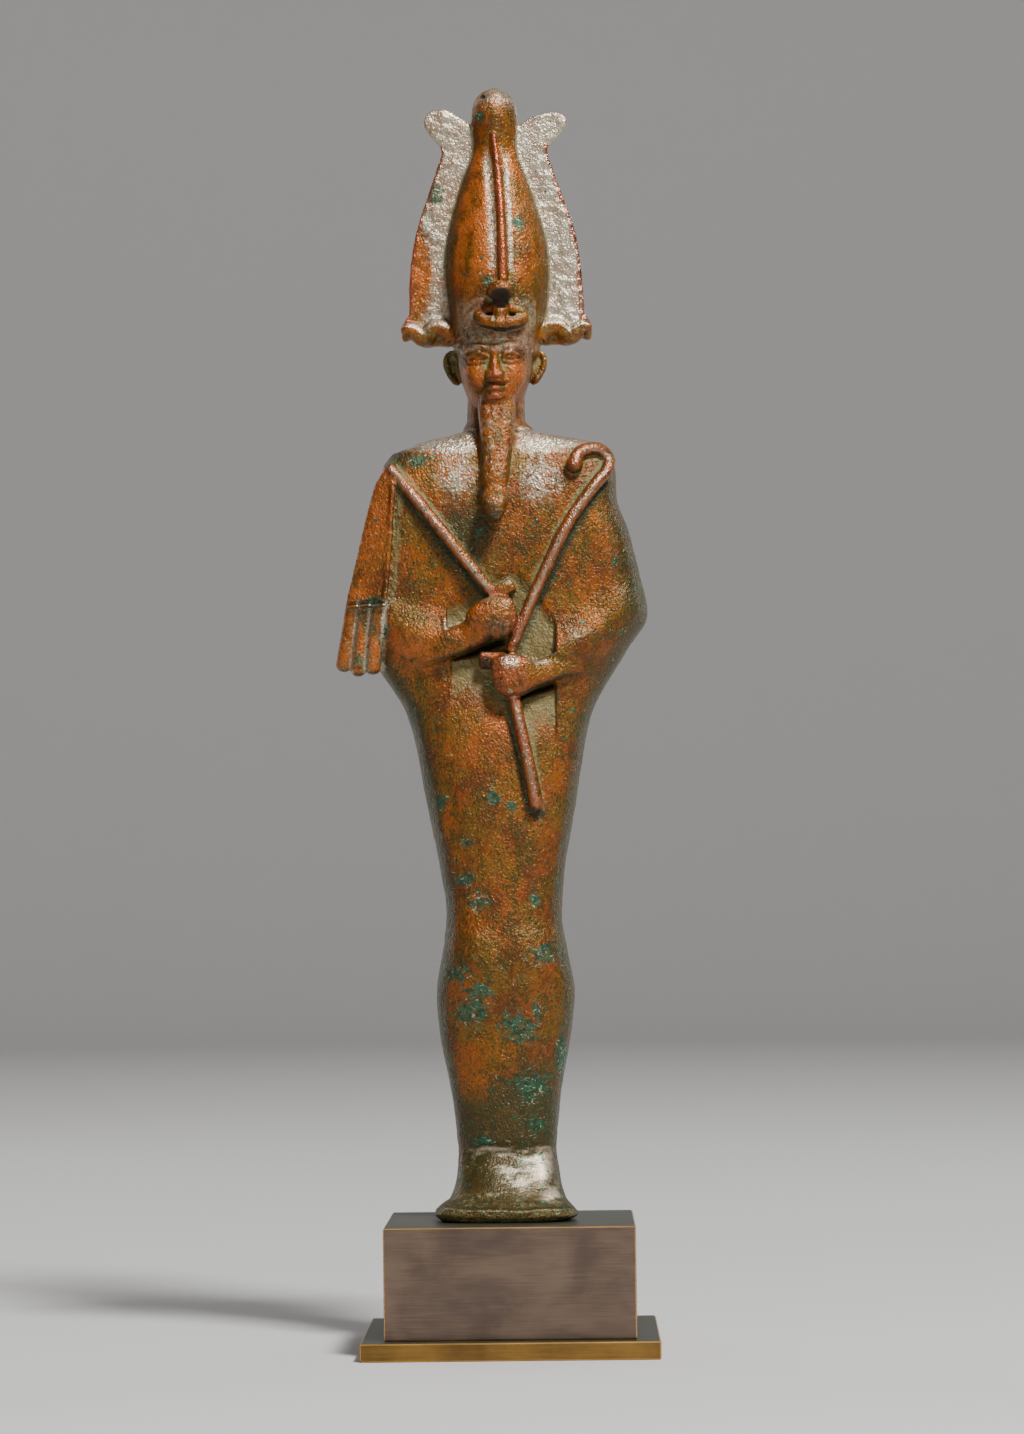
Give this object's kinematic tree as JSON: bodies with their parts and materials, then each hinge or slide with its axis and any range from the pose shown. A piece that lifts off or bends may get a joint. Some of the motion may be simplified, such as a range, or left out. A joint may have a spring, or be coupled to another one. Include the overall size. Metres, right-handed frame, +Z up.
{
  "type": "osiris figure",
  "caption": "Cast bronze figure of a wrapped standing deity in a tall plumed crown, holding crook and flail, upright on a stepped brass stand.",
  "frame": {"origin": "middle of the base plate's underside, where the stand rests on a surface", "axes": "+Z up the figure, the figure faces -Y, its left hand is towards +X"},
  "size_m": [0.07, 0.0652, 0.2825],
  "materials": {
    "bronze": "cast bronze with orange-brown, olive and green patina, worn bright on the ridges",
    "dark_brass": "brushed brass with a dark brown-grey patina and bright edges",
    "brass": "brushed golden brass edge with a dark patinated top"
  },
  "bodies": {
    "root": {"osiris_figure": "bronze", "plinth_block": "dark_brass", "base_plate": "brass"}
  },
  "joints": []
}
